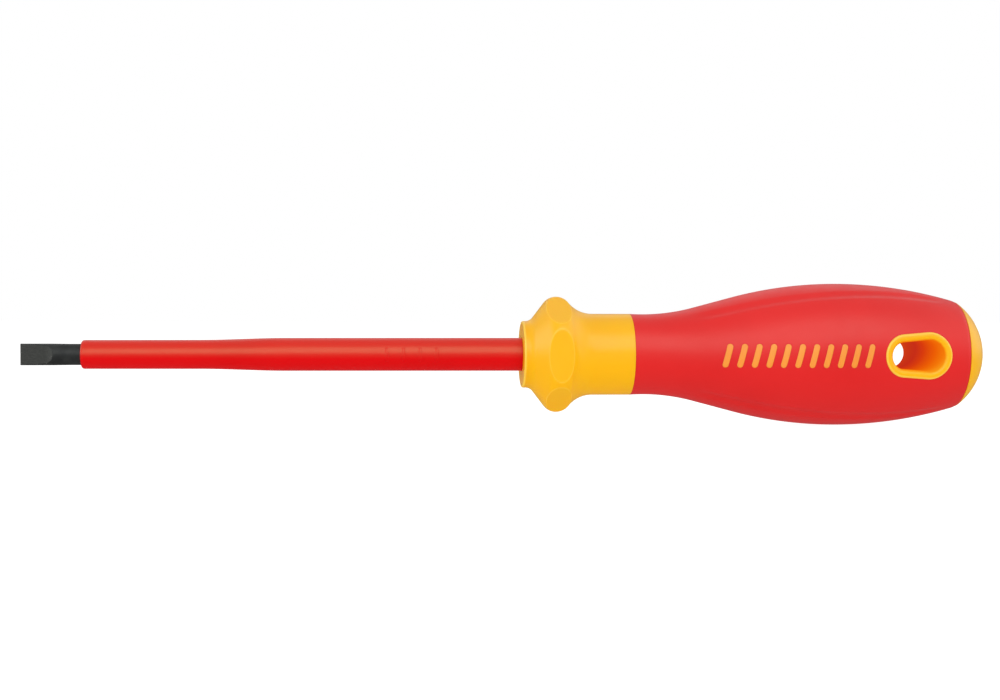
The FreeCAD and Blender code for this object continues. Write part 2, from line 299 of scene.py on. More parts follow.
def channel_depth(x, angle):
    """How deep the four finger channels are at a place on the grip."""
    start, end = CHANNEL_SPAN
    share = np.clip((x - start) / (end - start), 0, 1)
    centre = np.radians(CHANNEL_START_DEG + CHANNEL_DRIFT_DEG * share**CHANNEL_DRIFT_POWER)
    folded = np.arccos(np.abs(np.cos(angle)))
    offset = (folded - centre) * grip_radius(x)
    shape = np.where(
        np.abs(offset) < CHANNEL_HALF_WIDTH, 0.5 + 0.5 * np.cos(math.pi * offset / CHANNEL_HALF_WIDTH), 0
    )
    fade = ease(start, start + CHANNEL_FADE, x) * ease(-end, CHANNEL_FADE - end, -x)
    return CHANNEL_DEPTH * shape * fade


def grip_skin(x, angle, rise):
    """Points a given height above the grip's skin."""
    radius = grip_radius(x) - channel_depth(x, angle) + rise
    return around_axis(x, radius, angle)


def around_axis(x, radius, angle):
    """Points at given places along the axis, radii and angles about it."""
    x, radius, angle = np.broadcast_arrays(x, radius, angle)
    return np.stack([x, -radius * np.cos(angle), radius * np.sin(angle)], -1)


def guard_flat(angle):
    """How far the guard's flats are from the axis at each angle."""
    pitch = 2 * math.pi / GUARD_FLATS
    off_flat = (angle + pitch / 2) % pitch - pitch / 2
    return GUARD_FLAT_DISTANCE / np.cos(off_flat)


def guard_radius(radius, angle):
    """The guard's radius where its flats are cut into the turned shape."""
    flat = guard_flat(angle)
    return soft_min(np.full_like(flat, radius), flat, GUARD_FLAT_SOFTNESS)


def guard_edge_highlight(x, radius, angle):
    """How strongly a painted highlight lies near a flat's rounded outline or near the collar's front edge,
    from 0 to 1.
    """
    outline = np.exp(-((radius - guard_flat(angle)) / GUARD_EDGE_WIDTH) ** 2)
    front = 1 - ease(0.5 * COLLAR_EDGE_ROUND, 2 * COLLAR_EDGE_ROUND, x - BODY_LOW[0])
    return np.maximum(GUARD_EDGE_HIGHLIGHT * outline, front)


def oval(front_x, front_radius, rear_x, rear_radius, count):
    """Evenly spaced points, in X and Z, round two circles joined by their tangents.

    The loop starts at the middle of the upper side and runs towards +X.
    """
    spread = math.acos((front_radius - rear_radius) / (rear_x - front_x))

    def arc(centre_x, radius, start, end):
        angles = np.linspace(start, end, 200)
        return np.array([centre_x, 0]) + radius * np.stack([np.cos(angles), np.sin(angles)], -1)

    rear_arc = arc(rear_x, rear_radius, spread, -spread)
    front_arc = arc(front_x, front_radius, -spread, spread - 2 * math.pi)
    middle = (front_arc[-1] + rear_arc[0]) / 2
    dense = np.vstack([middle, rear_arc, front_arc, middle])
    travel = np.concatenate([[0], np.cumsum(np.linalg.norm(np.diff(dense, axis=0), axis=1))])
    wanted = np.arange(count) / count * travel[-1]
    return np.stack([np.interp(wanted, travel, dense[:, k]) for k in (0, 1)], -1)


# Meshes


class Shell:
    """A mesh that is built up from rows of points, then made into an object."""

    def __init__(self):
        self.mesh = bmesh.new()
        # masks for the painted edge highlight and for the painted light and shade inside the hanging hole
        for name in ("pale_edge", "in_bore"):
            self.mesh.verts.layers.float.new(name)

    def row(self, points, **marks):
        """New vertices for a row of points given in millimetres, with marks for the material to read."""
        made = [self.mesh.verts.new(Vector(p) * MM) for p in np.atleast_2d(points)]
        for name, values in marks.items():
            layer = self.mesh.verts.layers.float[name]
            for vertex, value in zip(made, np.broadcast_to(values, len(made))):
                vertex[layer] = value
        return made

    def strip(self, first, second):
        """Faces between two rows; a row of one vertex makes a fan."""
        count = max(len(first), len(second))
        for k in range(count):
            after = (k + 1) % count
            corners = [
                first[k % len(first)],
                first[after % len(first)],
                second[after % len(second)],
                second[k % len(second)],
            ]
            unique = list(dict.fromkeys(corners))
            if len(unique) > 2:
                self.mesh.faces.new(unique)

    def rows(self, rows, closed_around=False):
        """Joins every row to the next one, and the last to the first when asked."""
        for first, second in zip(rows, rows[1:]):
            self.strip(first, second)
        if closed_around:
            self.strip(rows[-1], rows[0])

    def cut_window(self, rows, row_range, column_range):
        """Takes out a block of a grid of rows and returns the loop of vertices round the block.

        The loop starts at the middle of the block's far edge, in column order.
        """
        first_row, last_row = row_range
        columns = [c % AROUND for c in range(column_range[0], column_range[1] + 1)]
        inner = [rows[i][c] for i in range(first_row + 1, last_row) for c in columns[1:-1]]
        faces = set()
        corners = set()
        for i in range(first_row, last_row + 1):
            for c in columns:
                corners.add(rows[i][c])
        for vertex in corners:
            for face in vertex.link_faces:
                if all(v in corners for v in face.verts):
                    faces.add(face)
        bmesh.ops.delete(self.mesh, geom=list(faces), context="FACES_ONLY")
        for vertex in inner:
            self.mesh.verts.remove(vertex)
        top = [rows[i][columns[-1]] for i in range(first_row, last_row)]
        right = [rows[last_row][c] for c in reversed(columns[1:])]
        low = [rows[i][columns[0]] for i in range(last_row, first_row, -1)]
        left = [rows[first_row][c] for c in columns[:-1]]
        loop = top + right + low + left
        middle = len(top) // 2
        return loop[middle:] + loop[:middle]

    def finish(self, name, material, node, slot, smooth_deg=40):
        """The finished object, riding on the root body in place of its CAD node."""
        bmesh.ops.remove_doubles(self.mesh, verts=self.mesh.verts, dist=1e-7)
        bmesh.ops.recalc_face_normals(self.mesh, faces=self.mesh.faces)
        data = bpy.data.meshes.new(name)
        self.mesh.to_mesh(data)
        self.mesh.free()
        piece = bpy.data.objects.new(name, data)
        bpy.context.scene.collection.objects.link(piece)
        for polygon in data.polygons:
            polygon.use_smooth = True
        data.set_sharp_from_angle(angle=math.radians(smooth_deg))
        data.materials.append(material)
        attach(piece, "root")
        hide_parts(node)
        return piece


ANGLES = np.arange(AROUND) * 2 * math.pi / AROUND


def ring(x, radius, angles=ANGLES):
    """A ring of points about the axis; its radius may vary with the angle."""
    return around_axis(x, radius, angles)


def window_rings(start, target, skin, count, seam):
    """Rows of points that pass from a window's edge to a loop in its middle, along a skin.

    Places are (x, angle) pairs. seam lists (share of the way, rise) pairs for rows near the middle.
    """
    rows = []
    for share, rise in [(k / count, 0.0) for k in range(1, count)] + seam:
        eased = 1 - (1 - share) ** 1.5 if share < 1 else 1
        place = start + (target - start) * eased
        rows.append(skin(place[:, 0], place[:, 1], rise))
    return rows


def to_angle(places, face, radius_at=grip_radius):
    """Turns (x, z) places into (x, angle) places on the front (+1) or the back (-1) face."""
    angle = np.arcsin(places[:, 1] / radius_at(places[:, 0]))
    if face < 0:
        angle = math.pi - angle
    return np.stack([places[:, 0], angle], -1)


# Blade


def tip_half_thickness(x):
    """Half the tip's thickness: a straight taper, then the grinding wheel's arc."""
    run = TIP_TAPER_LENGTH / math.cos(math.radians(TIP_TAPER_DEG))
    steps = [run, (TIP_HOLLOW_ROUND, 60)]
    side = trace((0, TIP_HALF_THICKNESS), TIP_TAPER_DEG, steps, TIP_OUTLINE_SPACING)
    return np.interp(x, side[:, 0], side[:, 1], right=NOT_GROUND)


def blade_radius(x, angles):
    """The bar's radius at each angle, with its ground faces in front and its wings behind."""
    bar = np.interp(x, SHANK_BLEND, (TIP_HALF_WIDTH, SHANK_RADIUS))
    across = np.maximum(np.abs(np.cos(angles)), TINY)
    ground = tip_half_thickness(x) / across
    radius = soft_min(np.full_like(angles, bar), ground, GROUND_SOFTNESS)
    for index, start in enumerate(WING_STARTS):
        if start < x < start + WING_LENGTH:
            turned = angles + index * math.pi / 2
            arch = math.sin(math.pi * (x - start) / WING_LENGTH) * WING_HALF_SPAN
            reach = arch / np.maximum(np.abs(np.sin(turned)), TINY)
            side = WING_HALF_THICKNESS / np.maximum(np.abs(np.cos(turned)), TINY)
            radius = np.maximum(radius, np.minimum(reach, side))
    return radius


def build_blade(material):
    """The steel bar, with a crisp ground tip.

    The points of a ring crowd towards the tip's narrow edges, where the section turns quickly.
    """
    shell = Shell()
    angles = ANGLES + CROWDING * np.sin(2 * ANGLES)
    edge = TIP_EDGE_ROUND
    rows = []
    for share in (0.02, 0.3, 0.6, 0.85, 0.96):
        rows.append(shell.row(ring(0, (blade_radius(0, angles) - edge) * share, angles)))
    stations = np.concatenate(
        [
            [0, edge / 3, edge],
            np.arange(0.15, SHANK_BLEND[1], TIP_SPACING),
            np.arange(SHANK_BLEND[1], WING_STARTS[0], BAR_SPACING),
            np.arange(WING_STARTS[0], WING_STARTS[-1] + WING_LENGTH, WING_SPACING),
            [BLADE_HIGH[0] - SHANK_END_CHAMFER],
        ]
    )
    for x in stations:
        inset = edge - math.sqrt(max(0, edge**2 - max(0, edge - x) ** 2))
        rows.append(shell.row(ring(x, blade_radius(x, angles) - inset, angles)))
    rows.append(shell.row(ring(BLADE_HIGH[0], SHANK_RADIUS - SHANK_END_CHAMFER, angles)))
    rows.append(shell.row([BLADE_HIGH[0], 0, 0]))
    rows.insert(0, shell.row([0, 0, 0]))
    shell.rows(rows)
    return shell.finish("blade_bar", material, "blade", "blade_steel", 50)


# Sleeve


def mark_rise(x, radius, angle):
    """How far the raised bars stand out of the sleeve, on its front and back."""
    up = radius * np.sin(angle)
    rise = np.zeros_like(angle)
    for centre in MARK_CENTRES:
        beyond = np.maximum(np.abs(up) - MARK_HALF_HEIGHT, 0)
        distance = np.hypot(x - centre, beyond)
        rise = np.maximum(rise, 1 - ease(MARK_HALF_STROKE - MARK_SLOPE, MARK_HALF_STROKE, distance))
    return MARK_RISE * rise


def sleeve_radius(x):
    """The sleeve's turned radius: slim in front, an eased step, fuller behind."""
    step_start, step_end = SLEEVE_STEP
    if x <= step_start:
        return np.interp(x, (SLEEVE_LOW[0], step_start), SLEEVE_RADII[:2])
    if x >= step_end:
        return np.interp(x, (step_end, SLEEVE_HIGH[0]), SLEEVE_RADII[2:])
    slim, fuller = SLEEVE_RADII[1:3]
    return slim + (fuller - slim) * ease(step_start, step_end, x)


def build_sleeve(material):
    """The moulded insulation: a thin-walled tube with a rounded mouth and raised bars."""
    shell = Shell()
    start = SLEEVE_LOW[0]
    lead = MARK_CENTRES[0] - MARK_MARGIN
    trail = MARK_CENTRES[-1] + MARK_MARGIN
    mouth = trace(
        (start + SLEEVE_BORE_EDGE, SHANK_RADIUS),
        180,
        [
            (SLEEVE_BORE_EDGE, -90),
            SLEEVE_RADII[0] - SHANK_RADIUS - SLEEVE_FRONT_ROUND - SLEEVE_BORE_EDGE,
            (SLEEVE_FRONT_ROUND, -90),
        ],
        SLEEVE_MOUTH_SPACING,
    )
    rows = [shell.row(ring(x, radius)) for x, radius in mouth]
    stations = np.concatenate(
        [
            np.arange(mouth[-1][0] + SLEEVE_SPACING, lead, SLEEVE_SPACING),
            np.arange(lead, trail, MARK_SPACING),
            np.arange(trail, SLEEVE_RING_STARTS[0] - SLEEVE_SPACING / 2, SLEEVE_SPACING),
        ]
    )
    for x in stations:
        radius = float(sleeve_radius(x))
        skin = np.full(AROUND, radius)
        if lead <= x <= trail:
            skin = skin + mark_rise(x, radius, ANGLES)
        rows.append(shell.row(ring(x, skin)))
    for ring_start in SLEEVE_RING_STARTS:
        ring_end = ring_start + SLEEVE_RING_WIDTH
        for x, radius in (
            (ring_start, sleeve_radius(ring_start)),
            (ring_start, SLEEVE_RING_RADIUS),
            (ring_end, SLEEVE_RING_RADIUS),
            (ring_end, sleeve_radius(ring_end)),
        ):
            rows.append(shell.row(ring(x, radius)))
    rows.append(shell.row(ring(SLEEVE_HIGH[0], SLEEVE_RADII[-1])))
    rows.append(shell.row(ring(SLEEVE_HIGH[0], SHANK_RADIUS)))
    shell.rows(rows, closed_around=True)
    return shell.finish("sleeve_moulding", material, "blade_sleeve", "sleeve_red")


# Handle body


def grip_stations():
    """Places of the grip's rings along the axis."""
    count = int(round((GRIP_SKIN[-1][0] - GRIP_SKIN[0][0]) / GRIP_SPACING))
    return np.linspace(GRIP_SKIN[0][0], GRIP_SKIN[-1][0], count + 1)


def nearest(values, wanted):
    """The index of the value nearest to a wanted one."""
    return int(np.argmin(np.abs(np.asarray(values) - wanted)))


def hole_window(stations):
    """The rows and the columns of the grid that the hanging hole's window takes up."""
    margin = LINER_WALL + HOLE_WINDOW_MARGIN
    rows = (
        nearest(stations, HOLE_FRONT_X - HOLE_FRONT_RADIUS - margin),
        nearest(stations, HOLE_REAR_X + HOLE_REAR_RADIUS + margin),
    )
    reach = HOLE_REAR_RADIUS + margin
    columns = int(math.ceil(math.asin(reach / grip_radius(HOLE_REAR_X)) / (2 * math.pi / AROUND)))
    return rows, columns


def face_columns(columns, face):
    """The first and last column of a window on the front or the back face."""
    middle = 0 if face > 0 else AROUND // 2
    return middle - columns, middle + columns


def loop_places(loop, face):
    """The (x, angle) places of a loop of vertices, with angles that don't jump."""
    places = []
    for vertex in loop:
        x, y, z = vertex.co / MM
        angle = math.atan2(z, -y)
        if face < 0 and angle < 0:
            angle += 2 * math.pi
        places.append((x, angle))
    return np.array(places)


def ordered_for(face, loop):
    """A window's loop, made to start at its upper middle and run towards +X on either face."""
    if face > 0:
        return loop
    turned_over = [loop[0]] + loop[:0:-1]
    half = len(loop) // 2
    return turned_over[half:] + turned_over[:half]


def hole_loop(offset, count):
    """The hanging hole's outline, moved outwards by an offset."""
    return oval(
        HOLE_FRONT_X, HOLE_FRONT_RADIUS + offset, HOLE_REAR_X, HOLE_REAR_RADIUS + offset, count
    )


def lip_outline():
    """The lining's rounded lip, as (distance from the bore's wall, height above the grip) pairs."""
    flat = LINER_WALL - LINER_INNER_ROUND - LINER_OUTER_ROUND
    bore_up = trace(
        (0, LINER_RISE - LINER_INNER_ROUND),
        90,
        [(LINER_INNER_ROUND, -90), flat, (LINER_OUTER_ROUND, -90), LINER_SKIRT],
        LIP_SPACING,
    )
    return bore_up[::-1]


def lip_row(distance, height, face, count):
    """A row of points round the lining at a distance from the bore's wall."""
    x, z = hole_loop(distance, count).T
    depth = np.sqrt(grip_radius(x) ** 2 - z**2) + height
    return np.stack([x, -face * depth, z], -1)


def spine_radius(x):
    """The radius of the body where the grip covers it."""
    return grip_radius(x) - GRIP_WALL


def spine_skin(x, angle, rise):
    """Points a given height above the spine beneath the grip."""
    return around_axis(x, spine_radius(x) + rise, angle)


def core_key_radius(angles):
    """The radius of the hollow round the core's four keys."""
    folded = np.abs((angles + math.pi / 4) % (math.pi / 2) - math.pi / 4)
    reach = CORE_HIGH[1] / np.maximum(np.cos(folded), TINY)
    side = CORE_KEY_HALF_WIDTH / np.maximum(np.sin(folded), TINY)
    return np.maximum(CORE_RADIUS, np.minimum(reach, side))


def build_body(material):
    """Collar, guard, neck, hidden spine and hole lining as one closed moulding."""
    shell = Shell()
    rows = [shell.row([CORE_HIGH[0], 0, 0]), shell.row(ring(CORE_HIGH[0], CORE_RADIUS))]
    key_radius = core_key_radius(ANGLES)
    key_start, key_end = CORE_KEY_SPAN
    for x, radius in (
        (key_end, CORE_RADIUS),
        (key_end, key_radius),
        (key_start, key_radius),
        (key_start, CORE_RADIUS),
        (CORE_LOW[0], CORE_RADIUS),
        (SLEEVE_HIGH[0] - HAIR, SLEEVE_RADII[-1]),
        (BODY_LOW[0] + COLLAR_BORE_EDGE, SLEEVE_RADII[-1] + 2 * HAIR),
    ):
        rows.append(shell.row(ring(x, radius)))
    inner = SLEEVE_RADII[-1] + COLLAR_BORE_EDGE
    outer = COLLAR_RADIUS - COLLAR_EDGE_ROUND
    for share in (0, 0.1, 0.5, 0.9):
        rows.append(shell.row(ring(BODY_LOW[0], inner + share * (outer - inner))))
    for x, radius in collar_outline():
        skin = ring(x, guard_radius(radius, ANGLES))
        # a painted highlight along the flats' rounded outlines and the collar's front edge
        rows.append(shell.row(skin, pale_edge=guard_edge_highlight(x, radius, ANGLES)))
    stations = grip_stations()
    rows.append(shell.row(ring(stations[0], spine_radius(stations[0]))))
    first_spine_row = len(rows) - 1
    for x in stations[1:]:
        rows.append(shell.row(ring(x, spine_radius(x))))
    rows.append(shell.row(ring(stations[-1], SPIGOT_RADIUS)))
    rows.append(shell.row(ring(CAP_LOW[0], SPIGOT_RADIUS)))
    rows.append(shell.row([CAP_LOW[0], 0, 0]))
    shell.rows(rows)
    add_lining(shell, rows[first_spine_row:-1], stations)
    return shell.finish("guarded_body", material, "handle_body", "handle_yellow")


def add_lining(shell, spine_rows, stations):
    """Opens the spine for the hanging hole and joins its two faces by the lining's lips and bore."""
    row_range, columns = hole_window(stations)
    lips = {}
    for face in (1, -1):
        loop = ordered_for(face, shell.cut_window(spine_rows, row_range, face_columns(columns, face)))
        count = len(loop)
        target = to_angle(hole_loop(LINER_WALL, count), face, spine_radius)
        layers = [loop]
        for points in window_rings(loop_places(loop, face), target, spine_skin, 4, [(1, 0.0)]):
            layers.append(shell.row(points))
        for distance, height in lip_outline():
            points = lip_row(distance, height, face, count)
            # a painted highlight on the lip's outer round
            pale = ease(LIP_HIGHLIGHT[0], LIP_HIGHLIGHT[1], distance)
            # the share of the painted glow and painted shade inside the hole, fading out up the lip
            deep = 1 - ease(LIP_DEEP[0], LIP_DEEP[1], height + LINER_INNER_ROUND - LINER_RISE)
            layers.append(shell.row(points, pale_edge=pale, in_bore=deep))
        shell.rows(layers)
        lips[face] = layers[-1]
    outline = hole_loop(0, len(lips[1]))
    bore = [lips[1]]
    for y in np.linspace(-HOLE_BORE_HALF_DEPTH, HOLE_BORE_HALF_DEPTH, BORE_ROWS):
        bore.append(shell.row(np.insert(outline, 1, y, axis=1), in_bore=1.0))
    bore.append(lips[-1])
    shell.rows(bore)


# Grip


def stripe_centres():
    """The stripes' places along the axis, half their upright run, and how far they lean over it."""
    half_run = STRIPE_HIGH[2] - STRIPE_HALF_WIDTH
    shift = half_run * math.tan(math.radians(STRIPE_LEAN_DEG))
    edge = shift + STRIPE_HALF_WIDTH
    return np.linspace(STRIPE_LOW[0] + edge, STRIPE_HIGH[0] - edge, STRIPE_COUNT), half_run, shift


def stripe_loop(centre, face, inset, count):
    """A stripe's outline as (x, z) places, starting at its upper end and running towards +X."""
    _, half_run, shift = stripe_centres()
    shift = shift * face
    width = STRIPE_HALF_WIDTH - inset
    upright = oval(-half_run, width, half_run, width, count)
    along, across = upright[:, 0], upright[:, 1]
    length = math.hypot(shift, half_run)
    way = np.array([shift, half_run]) / length
    side = np.array([half_run, -shift]) / length
    scale = length / half_run
    body = np.clip(along, -half_run, half_run)
    cap = along - body
    places = (body * scale + cap)[:, None] * way + across[:, None] * side
    places = np.roll(places, -int(np.argmax(places[:, 1])), axis=0)
    if places[count // 4][0] < 0:
        places = np.concatenate([places[:1], places[:0:-1]])
    return places + np.array([centre, 0])


def build_stripes(material):
    """The inlaid bars: closed solids whose tops follow the grip's skin."""
    shell = Shell()
    centres, _, _ = stripe_centres()
    section = (
        (STRIPE_FLOOR_INSET, -STRIPE_DEPTH),
        (STRIPE_GAP, -STRIPE_DEPTH),
        (STRIPE_GAP, -SEAM_DEPTH),
        (SEAM_WIDTH, HAIR),
        *STRIPE_CROWN,
    )
    for face in (1, -1):
        for centre in centres:
            rows = []
            for inset, rise in section:
                places = to_angle(stripe_loop(centre, face, inset, STRIPE_POINTS), face)
                rows.append(shell.row(grip_skin(places[:, 0], places[:, 1], rise)))
            shell.rows(rows)
            for end in (rows[0], rows[-1]):
                close_slot(shell, end)
    return shell.finish("stripe_inlays", material, "grip_stripes", "stripe_orange")


def close_slot(shell, loop):
    """Fills a long narrow loop that starts at one of its ends, with faces from side to side."""
    half = len(loop) // 2
    shell.mesh.faces.new([loop[0], loop[1], loop[-1]])
    for k in range(1, half - 1):
        shell.mesh.faces.new([loop[k], loop[k + 1], loop[-k - 1], loop[-k]])
    shell.mesh.faces.new([loop[half - 1], loop[half], loop[half + 1]])


def build_grip(material):
    """The soft moulding: channels, stripe pockets and the hole's two windows, closed inside."""
    shell = Shell()
    stations = grip_stations()
    edge = GRIP_EDGE_ROUND
    outer = []
    for index, x in enumerate(stations):
        radius = grip_radius(x) - channel_depth(x, ANGLES)
        if index == 0:
            outer.append(shell.row(ring(x, radius - edge)))
        outer.append(shell.row(ring(x + (edge if index == 0 else 0), radius)))
    outer.append(shell.row(ring(stations[-1] + edge * 0.5, radius - edge)))
    inner = [shell.row(ring(x, spine_radius(x))) for x in stations[::-1]]
    shell.rows(outer + inner, closed_around=True)
    skin_rows = outer[1:-1]
    spine_rows = inner[::-1]
    row_range, columns = hole_window(stations)
    for face in (1, -1):
        cut_hole(shell, skin_rows, spine_rows, row_range, columns, face)
        cut_pockets(shell, skin_rows, stations, face)
    return shell.finish("soft_grip_moulding", material, "soft_grip", "grip_red")


def cut_hole(shell, skin_rows, spine_rows, row_range, columns, face):
    """Opens the grip for the hole's lining on one face, from skin to spine."""
    ends = []
    seam = [(0.97, 0.0), (0.99, -0.03), (1, -0.12)]
    for rows, skin, radius_at, final in (
        (skin_rows, grip_skin, grip_radius, seam),
        (spine_rows, spine_skin, spine_radius, [(1, 0.0)]),
    ):
        loop = ordered_for(face, shell.cut_window(rows, row_range, face_columns(columns, face)))
        target = to_angle(hole_loop(LINER_WALL, len(loop)), face, radius_at)
        layers = [loop]
        for points in window_rings(loop_places(loop, face), target, skin, 8, final):
            layers.append(shell.row(points))
        shell.rows(layers)
        ends.append(layers[-1])
    shell.rows(ends)


def cut_pockets(shell, skin_rows, stations, face):
    """Sinks a pocket for each stripe on one face."""
    centres, half_run, _ = stripe_centres()
    pitch = centres[1] - centres[0]
    reach = half_run + STRIPE_HALF_WIDTH + POCKET_MARGIN
    step = 2 * math.pi / AROUND
    for centre in centres:
        low = nearest(stations, centre - pitch / 2)
        high = nearest(stations, centre + pitch / 2)
        columns = int(math.ceil(math.asin(reach / grip_radius(centre)) / step))
        loop = ordered_for(face, shell.cut_window(skin_rows, (low, high), face_columns(columns, face)))
        count = len(loop)
        target = to_angle(stripe_loop(centre, face, 0, count), face)
        seam = [(0.9, 0.0), (0.97, -0.01), (1, -SEAM_DEPTH)]
        layers = [loop]
        for points in window_rings(loop_places(loop, face), target, grip_skin, 4, seam):
            layers.append(shell.row(points))
        for inset in (0, STRIPE_FLOOR_INSET):
            places = to_angle(stripe_loop(centre, face, inset, count), face)
            layers.append(shell.row(grip_skin(places[:, 0], places[:, 1], -STRIPE_DEPTH)))
        shell.rows(layers)
        close_slot(shell, layers[-1])


# Butt cap


def build_cap(material):
    """The dome, with a rounded rim, a faint gate mark at its centre and a spigot."""
    shell = Shell()
    rim_x = GRIP_SKIN[-1][0]
    start = math.acos((rim_x - DOME_CENTRE_X) / DOME_RADIUS)
    rows = [shell.row([CAP_LOW[0], 0, 0])]
    rim = DOME_RADIUS * math.sin(start)
    for x, radius in (
        (CAP_LOW[0], SPIGOT_RADIUS - HAIR),
        (rim_x + HAIR, SPIGOT_RADIUS - HAIR),
        (rim_x + HAIR, rim - DOME_RIM_WIDTH),
        (rim_x + 5 * HAIR, rim - 4 * HAIR),
    ):
        rows.append(shell.row(ring(x, radius)))
    for angle in np.linspace(start - DOME_RIM_TURN, 0.0, DOME_ROWS)[:-1]:
        radius = DOME_RADIUS * math.sin(angle)
        dip = GATE_DEPTH * (1 - ease(GATE_RADIUS - GATE_EDGE, GATE_RADIUS, radius))
        rows.append(shell.row(ring(DOME_CENTRE_X + DOME_RADIUS * math.cos(angle) - dip, radius)))
    rows.append(shell.row([DOME_CENTRE_X + DOME_RADIUS - GATE_DEPTH, 0, 0]))
    shell.rows(rows)
    return shell.finish("butt_dome", material, "butt_cap", "handle_yellow")


# Materials, whose colours are display values from 0 to 255

# Noise fields, in cells per metre
CLOUD_SCALE = 45
SHEEN_SCALE = 260

EDGE_HIGHLIGHT_BLEND = 0.6  # how much of the pale colour a painted edge highlight takes on
UNDERSIDE = (-0.3, 0.25)  # the normal's upward part, where an underside's shine passes into the rest's
SCATTER_COLOURS = (1.0, 0.45, 0.12)  # how far red, green and blue light travel inside the plastics
SCATTER_DEPTH = 1.6
STEEL_GRAIN_DEPTH = 0.012

# The painted light and shade inside the hanging hole: a dark base colour as painted shade and an emitted
# glow as painted light that comes through the walls, its colours running from the tool's front face to its
# back and a little upwards
BORE_PAINTED_SHADE = (90, 20, 6)
BORE_GLOW_STRENGTH = 0.92
BORE_GLOW_REACH = 18.0
BORE_GLOW_TILT = 0.9
BORE_GLOW = (
    (0.0, (243, 150, 20)),
    (0.11, (240, 124, 8)),
    (0.28, (233, 96, 5)),
    (0.5, (214, 62, 14)),
    (0.67, (194, 46, 25)),
    (0.89, (200, 58, 22)),
    (1.0, (212, 80, 18)),
)

# pale is the colour of a plastic's painted edge highlight
YELLOW = dict(
    colour=(243, 179, 4),
    deep=(241, 175, 3),
    pale=(250, 210, 90),
    roughness=0.32,
    grain=(0.5, 0.004),
    scatter=0.2,
    shine=0.42,
    under_shine=0.35,
    tint=(0.6, 1.0, 1.0),
)
PLASTICS = {
    "handle_yellow": YELLOW,
    "cap_yellow": YELLOW,
    "sleeve_red": dict(
        colour=(214, 5, 15),
        deep=(209, 4, 13),
        pale=(226, 70, 50),
        roughness=0.33,
        grain=(0.22, 0.02),
        scatter=0.08,
        shine=0.72,
        tint=(0.4, 0.97, 0.53),
    ),
    "grip_red": dict(
        colour=(219, 22, 24),
        deep=(214, 18, 20),
        pale=(235, 96, 86),
        roughness=0.42,
        grain=(0.3, 0.014),
        scatter=0.1,
        shine=0.5,
        under_shine=0.5,
        tint=(0.5, 1.0, 0.9),
    ),
    "stripe_orange": dict(
        colour=(240, 150, 60),
        deep=(236, 142, 54),
        pale=(250, 190, 120),
        roughness=0.45,
        grain=(0.3, 0.01),
        scatter=0.15,
    ),
    "core_amber": dict(
        colour=(214, 140, 40),
        deep=(196, 120, 30),
        pale=(230, 170, 90),
        roughness=0.5,
        grain=(0.4, 0.02),
        scatter=0.1,
    ),
}


def linear(red, green, blue):
    """A colour given as 0 to 255 display values, as linear light."""
    values = []
    for value in (red, green, blue):
        share = value / 255
        values.append(share / 12.92 if share <= 0.04045 else ((share + 0.055) / 1.055) ** 2.4)
    return (*values, 1.0)


def set_inputs(tree, node, inputs):
    """Fills in a node's inputs, by name or by number, from values or from other nodes' outputs."""
    for key, value in inputs.items():
        if isinstance(value, bpy.types.NodeSocket):
            tree.links.new(value, node.inputs[key])
        else:
            node.inputs[key].default_value = value


def add(tree, kind, inputs=None, **settings):
    """A new node with its settings and inputs."""
    node = tree.nodes.new("ShaderNode" + kind)
    for key, value in settings.items():
        setattr(node, key, value)
    set_inputs(tree, node, inputs or {})
    return node


def noise(tree, coords, scale, detail=2.0, roughness=0.5):
    """A noise field with a number of cells per metre."""
    node = add(
        tree, "TexNoise", {"Vector": coords, "Scale": scale, "Detail": detail, "Roughness": roughness}
    )
    return node.outputs["Fac"]


def ramp(tree, factor, stops):
    """A colour ramp through (place, colour) stops."""
    node = add(tree, "ValToRGB", {"Fac": factor})
    elements = node.color_ramp.elements
    while len(elements) < len(stops):
        elements.new(0.5)
    for element, (place, colour) in zip(elements, stops):
        element.position = place
        element.color = colour
    return node.outputs["Color"]


def fit(tree, value, low, high, new_low, new_high, kind="SMOOTHSTEP"):
    """A value mapped from one range to another, smoothly unless another kind is asked for."""
    node = add(
        tree,
        "MapRange",
        {"Value": value, "From Min": low, "From Max": high, "To Min": new_low, "To Max": new_high},
        interpolation_type=kind,
    )
    return node.outputs["Result"]


def blend(tree, factor, first, second):
    """Mixes two colours, whose sockets are only told apart by number."""
    return add(tree, "Mix", {0: factor, 6: first, 7: second}, data_type="RGBA").outputs[2]


def combine(tree, operation, *values):
    """One number worked out from others."""
    return add(tree, "Math", dict(enumerate(values)), operation=operation).outputs[0]


def attribute(tree, name):
    """A mark that was left on the mesh's vertices."""
    return add(tree, "Attribute", attribute_name=name).outputs["Fac"]


def split(tree, vector):
    """The X, Y and Z of a vector."""
    return add(tree, "SeparateXYZ", {"Vector": vector}).outputs


def new_material(name):
    """An empty material with its shader, ready to be filled in."""
    material = bpy.data.materials.new(name)
    material.use_nodes = True
    tree = material.node_tree
    tree.nodes.clear()
    output = add(tree, "OutputMaterial")
    shader = add(tree, "BsdfPrincipled")
    tree.links.new(shader.outputs["BSDF"], output.inputs["Surface"])
    coords = add(tree, "TexCoord").outputs["Object"]
    return material, tree, shader, coords


